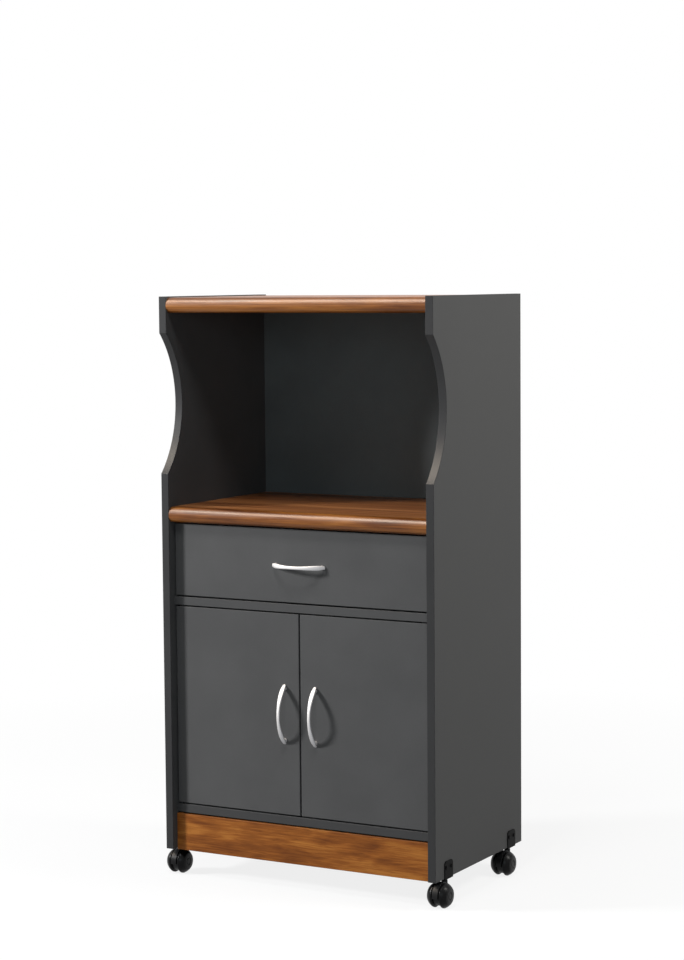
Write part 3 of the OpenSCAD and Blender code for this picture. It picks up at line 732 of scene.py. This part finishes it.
@dataclass
class Board:
    """Flat board with eased edges in place of a CAD node.

    Attributes:
        node: CAD node that it stands for.
        slot: its material slot.
        body: CAD body that it moves with.
        ease: rounding of its edges.
        finish: in place of the slot's own.
    """

    node: str
    slot: Slot
    body: str = "cart"
    ease: float = 0.0008
    finish: Finish | None = None

    def build(self, shop: Workshop) -> None:
        """Makes the board."""
        low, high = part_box(self.node)
        shop.piece(f"{self.node}_board", block(low, high), self.slot, self.body, [self.node],
                   ease=self.ease, finish=self.finish)


@dataclass
class EdgeBand:
    """Edge band on the front edge of a board that keeps its CAD mesh.

    Attributes:
        node: CAD node of the board.
        finish: of the band.
        thickness: of the band in front of the board.
    """

    node: str
    finish: Finish
    thickness: float = 0.001

    def build(self, shop: Workshop) -> None:
        """Makes the band."""
        low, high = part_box(self.node)
        shape = block((low.x, low.y - self.thickness, low.z), (high.x, low.y, high.z))
        shop.piece(f"{self.node}_band", shape, Slot.CHARCOAL, "cart", finish=self.finish,
                   ease=self.thickness * 0.9)


@dataclass
class BowHandle:
    """Cast bow handle: an arc that widens towards two pointed ends, on two round feet.

    Attributes:
        node: CAD node of the handle.
        body: CAD body that it moves with.
        along: axis of the bow's chord.
        length: of the chord.
        reach: in front of the board.
        pitch: between the two screws.
        waist: width of the bow in its middle.
        flare: width of the bow over the feet.
        flare_span: where it widens from waist to flare, in shares of the way to a tip.
        taper: share of its width that the bow loses towards a tip.
        taper_start: where the taper starts, as such a share.
        nose_start: where the round nose starts, as such a share.
        nose_cut: share of the squared width that the nose takes off at the tip.
        thickness: of the bow in its middle.
        thinning: share of the thickness that narrows with the taper and the nose.
        squareness: power that rounds the section, 1 for an ellipse and 0 for a rectangle.
        foot_height: of the feet.
        foot_radius: of the feet on the board.
        foot_waist: what a foot's radius loses towards the bow.
    """

    node: str
    body: str
    along: Axis
    length: float = 0.1198
    reach: float = 0.0279
    pitch: float = 0.1016
    waist: float = 0.0062
    flare: float = 0.0092
    flare_span: tuple[float, float] = (0.1, 0.72)
    taper: float = 0.3
    taper_start: float = 0.78
    nose_start: float = 0.97
    nose_cut: float = 0.97
    thickness: float = 0.0048
    thinning: float = 0.7
    squareness: float = 0.72
    foot_height: float = 0.0062
    foot_radius: float = 0.0044
    foot_waist: float = 0.0010

    def bow(self) -> Shape:
        """The bow along X in front of the plane y = 0.

        At angle a the middle line lies at r (sin a, -cos a) + (0, r_outer - reach), with
        r = r_outer - thickness / 2. Ring point t is offset by depth / 2 cos t along the radius
        and by width / 2 sin t across, the cosine and the sine raised to the squareness. The
        width grows from waist to flare, narrows by the taper and closes in a round nose.

        Returns:
            The bow, capped at both ends.
        """
        outer = ((self.length / 2) ** 2 + self.reach**2) / (2 * self.reach)
        centre = outer - self.reach
        middle = outer - self.thickness / 2
        end = math.acos(centre / outer)
        a = np.linspace(-end, end, 121)
        u = np.abs(a) / end
        nose = np.sqrt(1.0 - self.nose_cut * smooth_step(u, self.nose_start, 1.0))
        point = (1.0 - self.taper * smooth_step(u, self.taper_start, 1.0)) * nose
        growth = (self.flare - self.waist) * smooth_step(u, *self.flare_span)
        width = (self.waist + growth) * point
        depth = self.thickness * (1.0 - self.thinning + self.thinning * point)
        t = np.linspace(0.0, 2.0 * math.pi, 28, endpoint=False)
        along_ring = np.sign(np.cos(t)) * np.abs(np.cos(t)) ** self.squareness
        across_ring = np.sign(np.sin(t)) * np.abs(np.sin(t)) ** self.squareness
        radius = middle + depth[:, None] / 2 * along_ring
        clearance = 0.00005
        x = radius * np.sin(a)[:, None]
        y = np.minimum(centre - radius * np.cos(a)[:, None], -clearance)
        z = width[:, None] / 2 * across_ring
        return skin(np.stack((x, y, z), axis=-1), capped=True)

    def foot(self) -> Shape:
        """One round foot along Y, from the board into the bow, waisted towards the bow."""
        s = np.linspace(0.0, 1.0, 9)
        radius = self.foot_radius - self.foot_waist * smooth_step(s, 0.0, 0.9)
        wall = np.column_stack((radius, -self.foot_height * s))
        section = np.vstack(((0.0, 0.0), wall, (0.0, -self.foot_height)))
        return lathe(section, Axis.Y, 32)

    def build(self, shop: Workshop) -> None:
        """Makes the handle where its CAD node stands."""
        low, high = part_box(self.node)
        half = self.pitch / 2
        shape = self.bow() + self.foot().moved((-half, 0, 0)) + self.foot().moved((half, 0, 0))
        if self.along is Axis.Z:
            shape = shape.turned(math.pi / 2, Axis.Y)
        middle = (low + high) / 2
        shape = shape.moved((middle.x, high.y, middle.z))
        finish = replace(FINISHES[Slot.SILVER], along=self.along)
        shop.piece(f"{self.node}_bow", shape, Slot.SILVER, self.body, [self.node], smooth=60.0,
                   finish=finish)


@dataclass
class Bracket:
    """Corner brackets above the casters: an outer leaf with round upper corners and a leaf below.

    Attributes:
        width: of a bracket.
        height: of its outer leaf.
        thickness: of its sheet.
        corner: radius of the outer leaf's upper corners.
        foot_corner: radius of its lower corners.
    """

    width: float = 0.034
    height: float = 0.035
    thickness: float = 0.002
    corner: float = 0.007
    foot_corner: float = 0.001

    def shape(self, y: float) -> Shape:
        """One right-hand bracket."""
        low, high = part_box("caster_brackets")
        half = self.width / 2
        radii = (self.foot_corner, self.foot_corner, self.corner, self.corner)
        leaf = rounded_rectangle((y - half, low.z), (y + half, low.z + self.height), radii)
        outer = prism(leaf, high.x - self.thickness, high.x, Axis.X)
        inner_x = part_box("side_panel_right")[0].x
        under = block((inner_x, y - half, low.z), (high.x, y + half, low.z + self.thickness))
        return outer + under

    def build(self, shop: Workshop, ys: Sequence[float]) -> None:
        """Makes all the brackets, at the casters' places along Y on both sides."""
        brackets = [self.shape(y).sided(side) for side in Side for y in ys]
        shop.piece("corner_brackets", functools.reduce(operator.add, brackets),
                   Slot.BLACK_STEEL, "cart", ["caster_brackets"], ease=0.0005)


@dataclass
class Caster:
    """Twin-wheel caster: a hooded fork plate between two domed wheels.

    Attributes:
        row: "front" or "back".
        side: side of the cart.
        radius: of the wheels.
        inner: distance from the caster's middle to a wheel's inner face.
        outer: distance from the caster's middle to a wheel's outer face.
        tread: distance from the caster's middle to the outer edge of a wheel's tread.
        shoulder: rounding of the tread's inner edge along the radius and along the axle.
        disc: radius of a wheel's outer face.
        rim: angle in radians by which the dome stops short of the outer face.
        hub: radius of the hub cap.
        groove: depth of the groove round the hub cap.
        bore: radius of a wheel's bore.
        wall: thickness of a wheel over its bore.
        hood: radius of the hood's upper edge about the axle.
        skirt: how far below the axle the upper edge ends.
        hollow: radius of the hood's lower edge about the axle.
        hollow_drop: angle in radians below the axle at which the lower edge starts.
        plate: half the thickness of the hood, and the radius of its boss.
        chamfer: of the boss's upper edge, along the radius and along its axis.
        stem: radius of the stem's hole in the boss.
        stem_low: height of that hole's end.
        boss_low: height of the boss's lower end.
        stub: radius of the stub axles.
        stub_end: distance from the caster's middle to their ends.
    """

    row: str
    side: Side
    radius: float = 0.02395
    inner: float = 0.0065
    outer: float = 0.02095
    tread: float = 0.0105
    shoulder: tuple[float, float] = (0.0045, 0.0025)
    disc: float = 0.0150
    rim: float = 0.03
    hub: float = 0.0062
    groove: float = 0.0011
    bore: float = 0.00406
    wall: float = 0.0045
    hood: float = 0.025
    skirt: float = 0.003
    hollow: float = 0.020
    hollow_drop: float = 0.15
    plate: float = 0.006
    chamfer: tuple[float, float] = (0.0008, 0.0012)
    stem: float = 0.00405
    stem_low: float = 0.030
    boss_low: float = 0.021
    stub: float = 0.004
    stub_end: float = 0.016

    @property
    def name(self) -> str:
        """Name of the caster as it stands in node names."""
        return f"{self.row}_{self.side.word}"

    def wheel_section(self) -> Array:
        """Half section of a wheel as rows (radius, distance from the caster's middle).

        The outer face is an arc about the caster's middle through the tread's edge. A round
        groove sets off the hub cap and the tyre's inner edge is an ellipse quarter.
        """
        ball = math.hypot(self.tread, self.radius)
        start = math.asin(self.tread / ball)
        end = math.asin(self.outer / ball) - self.rim
        dome = arc((0.0, 0.0), ball, start, end, 14)
        t = np.linspace(0.0, math.pi / 2, 9)
        shoulder = np.column_stack((self.radius - self.shoulder[0] * (1 - np.cos(t)),
                                    self.inner + self.shoulder[1] * (1 - np.sin(t))))
        cap = np.array([
            (self.disc, -0.0004),
            (self.disc - 0.0007, 0.0),
            (self.hub + 0.0016, -0.0002),
            (self.hub + 0.0010, -self.groove),
            (self.hub + 0.0002, -self.groove),
            (self.hub - 0.0005, -0.0001),
            (0.0, 0.0),
            (0.0, -self.wall),
            (self.bore, -self.wall),
        ]) + (0.0, self.outer)
        return np.vstack((dome, cap, (self.bore, self.inner), shoulder[::-1]))

    def fork(self) -> Shape:
        """Hood plate, boss and stub axles about the swivel axis; the wheels trail to -Y."""
        axle_y, axle_z = self.axle
        drop = math.asin(self.skirt / self.hood)
        upper = arc(self.axle, self.hood, -drop, math.pi + drop, 40)
        lower = arc(self.axle, self.hollow, math.pi + self.hollow_drop,
                    2 * math.pi - self.hollow_drop, 30)
        hood = prism(np.vstack((upper, lower)), -self.plate, self.plate, Axis.X)
        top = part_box(f"fork_{self.name}")[1].z
        boss = lathe(np.array([
            (0.0, self.boss_low),
            (self.plate, self.boss_low),
            (self.plate, top - self.chamfer[1]),
            (self.plate - self.chamfer[0], top),
            (self.stem, top),
            (self.stem, self.stem_low),
            (0.0, self.stem_low),
        ]), Axis.Z, 40)
        stub = lathe(np.array([
            (0.0, -self.stub_end),
            (self.stub, -self.stub_end),
            (self.stub, self.stub_end),
            (0.0, self.stub_end),
        ]), Axis.X, 32)
        return hood + boss + stub.moved((0.0, axle_y, axle_z))

    @property
    def axle(self) -> tuple[float, float]:
        """The wheels' axis from the swivel axis: distance along Y, and height."""
        low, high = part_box(f"wheel_{self.name}_outer")
        return (low.y + high.y) / 2 - self.pivot.y, (low.z + high.z) / 2

    @property
    def pivot(self) -> Vector:
        """Point of the swivel axis on the floor."""
        low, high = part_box(f"stem_{self.name}")
        return Vector(((low.x + high.x) / 2, (low.y + high.y) / 2, 0.0))

    def build(self, shop: Workshop) -> None:
        """Makes the fork and both wheels."""
        axle_y, axle_z = self.axle
        shop.piece(f"hood_{self.name}", self.fork().moved(self.pivot), Slot.BLACK_PLASTIC,
                   f"caster_{self.name}", [f"fork_{self.name}"], ease=0.0008)
        wheel = lathe(self.wheel_section(), Axis.X, 96).moved((0.0, axle_y, axle_z))
        outward = {"outer": self.side, "inner": Side(-self.side.value)}
        for word, way in outward.items():
            node = f"wheel_{self.name}_{word}"
            shop.piece(f"{node}_tyre", wheel.sided(way).moved(self.pivot), Slot.BLACK_WHEEL,
                       node, [node], smooth=35.0)


@dataclass
class Cart:
    """The whole cart, one sub-assembly after another."""

    shop: Workshop

    def carcass(self) -> None:
        """Side panels, shelves, nosings, divider, bottom board, toe kick and back panel."""
        for side in Side:
            SidePanel(side).build(self.shop)
        for node in ("top_nosing", "shelf_nosing"):
            Nosing(node).build(self.shop)
        self.shop.keep(Slot.CHERRY, "top_board", "shelf_board")
        self.shop.keep(Slot.CHARCOAL, "divider_board", "bottom_board")
        EdgeBand("divider_board", RAIL_BAND).build(self.shop)
        EdgeBand("bottom_board", SILL_BAND).build(self.shop)
        Board("toe_kick", Slot.CHERRY, finish=CHERRY_FIGURED).build(self.shop)
        self.shop.keep(Slot.HARDBOARD, "back_panel")

    def joinery(self) -> None:
        """Fittings that hold the boards together."""
        self.shop.keep(Slot.ZINC, "cam_locks", "cam_bolts", "wood_screws")
        self.shop.keep(Slot.BEECH, "dowels", "drawer_dowels")

    def drawer(self) -> None:
        """Drawer front and box, handle, runners and rollers."""
        Board("drawer_front", Slot.CHARCOAL, "drawer", ease=0.0012).build(self.shop)
        for node in ("drawer_side_left", "drawer_side_right", "drawer_back"):
            Board(node, Slot.DRAWER_BOARD, "drawer", ease=0.0015).build(self.shop)
        self.shop.keep(Slot.DRAWER_BOARD, "drawer_bottom")
        self.shop.keep(Slot.ZINC, "runner_left", "runner_right", "slide_left", "slide_right",
                       "slide_screws", "drawer_handle_screws")
        self.shop.keep(Slot.NYLON, "front_rollers", "rear_rollers")
        BowHandle("drawer_handle", "drawer", Axis.X).build(self.shop)

    def doors(self) -> None:
        """Both doors with their handles, pivots, catches and strikes."""
        for side in Side:
            body = f"door_{side.word}"
            Board(body, Slot.CHARCOAL, body, ease=0.0012).build(self.shop)
            BowHandle(f"door_handle_{side.word}", body, Axis.Z).build(self.shop)
            self.shop.keep(Slot.ZINC, f"door_screws_{side.word}", f"pivot_pins_{side.word}",
                           f"strike_{side.word}")
        self.shop.keep(Slot.BLACK_PLASTIC, "pivot_bushes", "catches")

    def casters(self) -> None:
        """Casters, their sockets and the corner brackets."""
        casters = [Caster(row, side) for side in Side for row in ("front", "back")]
        for caster in casters:
            caster.build(self.shop)
            self.shop.keep(Slot.ZINC, f"stem_{caster.name}")
        self.shop.keep(Slot.ZINC, "caster_sockets")
        self.shop.keep(Slot.BLACK_STEEL, "bracket_screws")
        Bracket().build(self.shop, [caster.pivot.y for caster in casters[:2]])

    def build(self) -> None:
        """Builds every sub-assembly in order."""
        for step in (self.carcass, self.joinery, self.drawer, self.doors, self.casters):
            step()
            log.info("%s done, %d pieces so far", step.__name__, self.shop.count)


# ---- Studio ----


@dataclass(frozen=True)
class AreaLight:
    """Soft rectangular light.

    Attributes:
        name: of the light.
        place: of its middle.
        target: point that it faces.
        size: of its sides.
        power: in watts.
        colour: linear.
        gloss_only: whether it shows in reflections alone, as a strip beside the lamps.
    """

    name: str
    place: Point
    target: Point
    size: tuple[float, float]
    power: float
    colour: Colour = (1.0, 1.0, 1.0)
    gloss_only: bool = False

    def build(self) -> None:
        """Adds the light."""
        data = bpy.data.lights.new(self.name, "AREA")
        data.shape = "RECTANGLE"
        data.size, data.size_y = self.size
        data.energy = self.power
        data.color = self.colour
        lamp = bpy.data.objects.new(self.name, data)
        lamp.location = self.place
        aim = Vector(self.target) - Vector(self.place)
        lamp.rotation_euler = aim.to_track_quat("-Z", "Y").to_euler()
        lamp.visible_diffuse = not self.gloss_only
        bpy.context.scene.collection.objects.link(lamp)


@dataclass(frozen=True)
class Studio:
    """Pale floor, white surroundings and soft lights.

    Attributes:
        lights: the area lights.
        surround: strength of the surroundings as a light on the object.
        surround_tint: their colour as a light, linear.
        floor_colour: of the floor where it is seen, linear.
        floor_bounce: of the floor as a light on the object, linear.
        floor_size: length of the floor's sides.
        near: distance from the cart's middle at which the floor starts to pass into white.
        far: distance at which it is white.
        lift: share of white in the floor near the cart.
    """

    lights: tuple[AreaLight, ...]
    surround: float = 0.036
    surround_tint: Colour = (0.82, 1.0, 1.15)
    floor_colour: Colour = (0.90, 0.90, 0.90)
    floor_bounce: Colour = (0.22, 0.22, 0.22)
    floor_size: float = 60.0
    near: float = 0.5
    far: float = 2.2
    lift: float = 0.84

    def floor(self) -> None:
        """Adds the floor, a plane at z = 0.

        It is lit, and so keeps the shadow, near the cart. For the camera and for reflections
        it passes into the white surroundings between the near and the far distance.
        """
        half = self.floor_size / 2
        mesh = bpy.data.meshes.new("floor")
        rim = lifted(rectangle((-half, -half), (half, half)), 0.0, Axis.Z)
        mesh.from_pydata(rim.tolist(), [], [(0, 1, 2, 3)])
        g = MaterialGraph("floor")
        seen = g.seen_rays()
        mottle = g.spread(g.noise(g.place([1.3] * 3)), 0.985, 1.0)
        colour = g.ramp(seen, [(0.0, self.floor_bounce), (1.0, self.floor_colour)])
        g.finish(Base_Color=g.shade(colour, mottle), Roughness=0.7, Specular_IOR_Level=0.1)
        distance = g.tree.nodes.new("ShaderNodeVectorMath")
        distance.operation = "LENGTH"
        g.put(distance.inputs[0], g.place([1.0] * 3))
        far = g.remap(distance.outputs["Value"], self.near, self.far, self.lift, 1.0)
        glow = g.tree.nodes.new("ShaderNodeEmission")
        blend = g.tree.nodes.new("ShaderNodeMixShader")
        g.put(blend.inputs["Fac"], g.math("MULTIPLY", far, seen))
        g.put(blend.inputs[1], g.shader.outputs["BSDF"])
        g.put(blend.inputs[2], glow.outputs["Emission"])
        g.put(g.tree.nodes["Material Output"].inputs["Surface"], blend.outputs["Shader"])
        mesh.materials.append(g.material)
        plane = bpy.data.objects.new("floor", mesh)
        bpy.context.scene.collection.objects.link(plane)

    def world(self) -> None:
        """White surroundings for the camera and for reflections, dimmer and cool as a light."""
        world = bpy.data.worlds.new("surroundings")
        g = Graph(world)
        light = dimmed(self.surround_tint, self.surround)
        colour = g.ramp(g.seen_rays(), [(0.0, light), (1.0, (1.0, 1.0, 1.0))])
        g.put(g.tree.nodes["Background"].inputs["Color"], colour)
        bpy.context.scene.world = world

    def build(self) -> None:
        """Sets up the floor, the surroundings and the lights."""
        self.floor()
        self.world()
        for light in self.lights:
            light.build()
        bpy.context.scene.view_settings.view_transform = "Standard"


@dataclass(frozen=True)
class Viewpoint:
    """Camera at the photograph's view.

    Attributes:
        place: of the camera.
        yaw: turn about Z from facing +Y, in radians.
        pitch: upwards, in radians.
        roll: clockwise, in radians.
        focal_pixels: focal length in pixels of the image.
        image_height: of that image in pixels, its longer side.
        sensor: longer side of the sensor in millimetres.
        reach: greatest distance that is shown.
    """

    place: Point = (2.2868, -4.0796, 1.1873)
    yaw: float = 0.51030
    pitch: float = -0.08547
    roll: float = -0.00803
    focal_pixels: float = 2382.4
    image_height: int = 960
    sensor: float = 36.0
    reach: float = 100.0

    def build(self) -> None:
        """Adds the camera and makes it the scene's."""
        data = bpy.data.cameras.new("camera")
        data.sensor_width = self.sensor
        data.lens = self.focal_pixels / self.image_height * self.sensor
        data.clip_end = self.reach
        rig = bpy.data.objects.new("camera", data)
        forward = Vector((-math.sin(self.yaw) * math.cos(self.pitch),
                          math.cos(self.yaw) * math.cos(self.pitch), math.sin(self.pitch)))
        right = Vector((math.cos(self.yaw), math.sin(self.yaw), 0.0))
        up = right.cross(forward)
        c, s = math.cos(self.roll), math.sin(self.roll)
        columns = (c * right + s * up, -s * right + c * up, -forward)
        rig.matrix_world = Matrix.Translation(self.place) @ Matrix(columns).transposed().to_4x4()
        bpy.context.scene.collection.objects.link(rig)
        bpy.context.scene.camera = rig


LIGHTS = (
    AreaLight("key", place=(-3.0, -2.15, 1.85), target=(0.0, 0.0, 0.6), size=(0.55, 0.55),
              power=183.0),
    AreaLight("right", place=(2.2, 0.3, 2.4), target=(0.3, 0.0, 0.9), size=(0.8, 0.8),
              power=54.0, colour=(1.0, 0.98, 0.93)),
    AreaLight("top", place=(0.3, -1.45, 3.2), target=(0.0, -0.1, 0.7), size=(0.6, 0.6),
              power=33.0),
    AreaLight("front", place=(2.3, -4.0, 1.5), target=(0.0, 0.0, 0.8), size=(2.0, 1.4),
              power=22.0, colour=(0.84, 1.0, 1.06)),
    AreaLight("strip", place=(-1.68, -1.84, 3.75), target=(0.0, -0.2, 0.9), size=(1.7, 2.4),
              power=330.0, colour=(1.0, 0.86, 0.71), gloss_only=True),
)


def main() -> None:
    """Builds the cart, then the studio and the camera."""
    logging.basicConfig(level=logging.INFO, format="%(name)s: %(message)s")
    shop = Workshop()
    Cart(shop).build()
    Studio(LIGHTS).build()
    Viewpoint().build()
    log.info("%d pieces in all", shop.count)


if __name__ == "__main__":
    main()
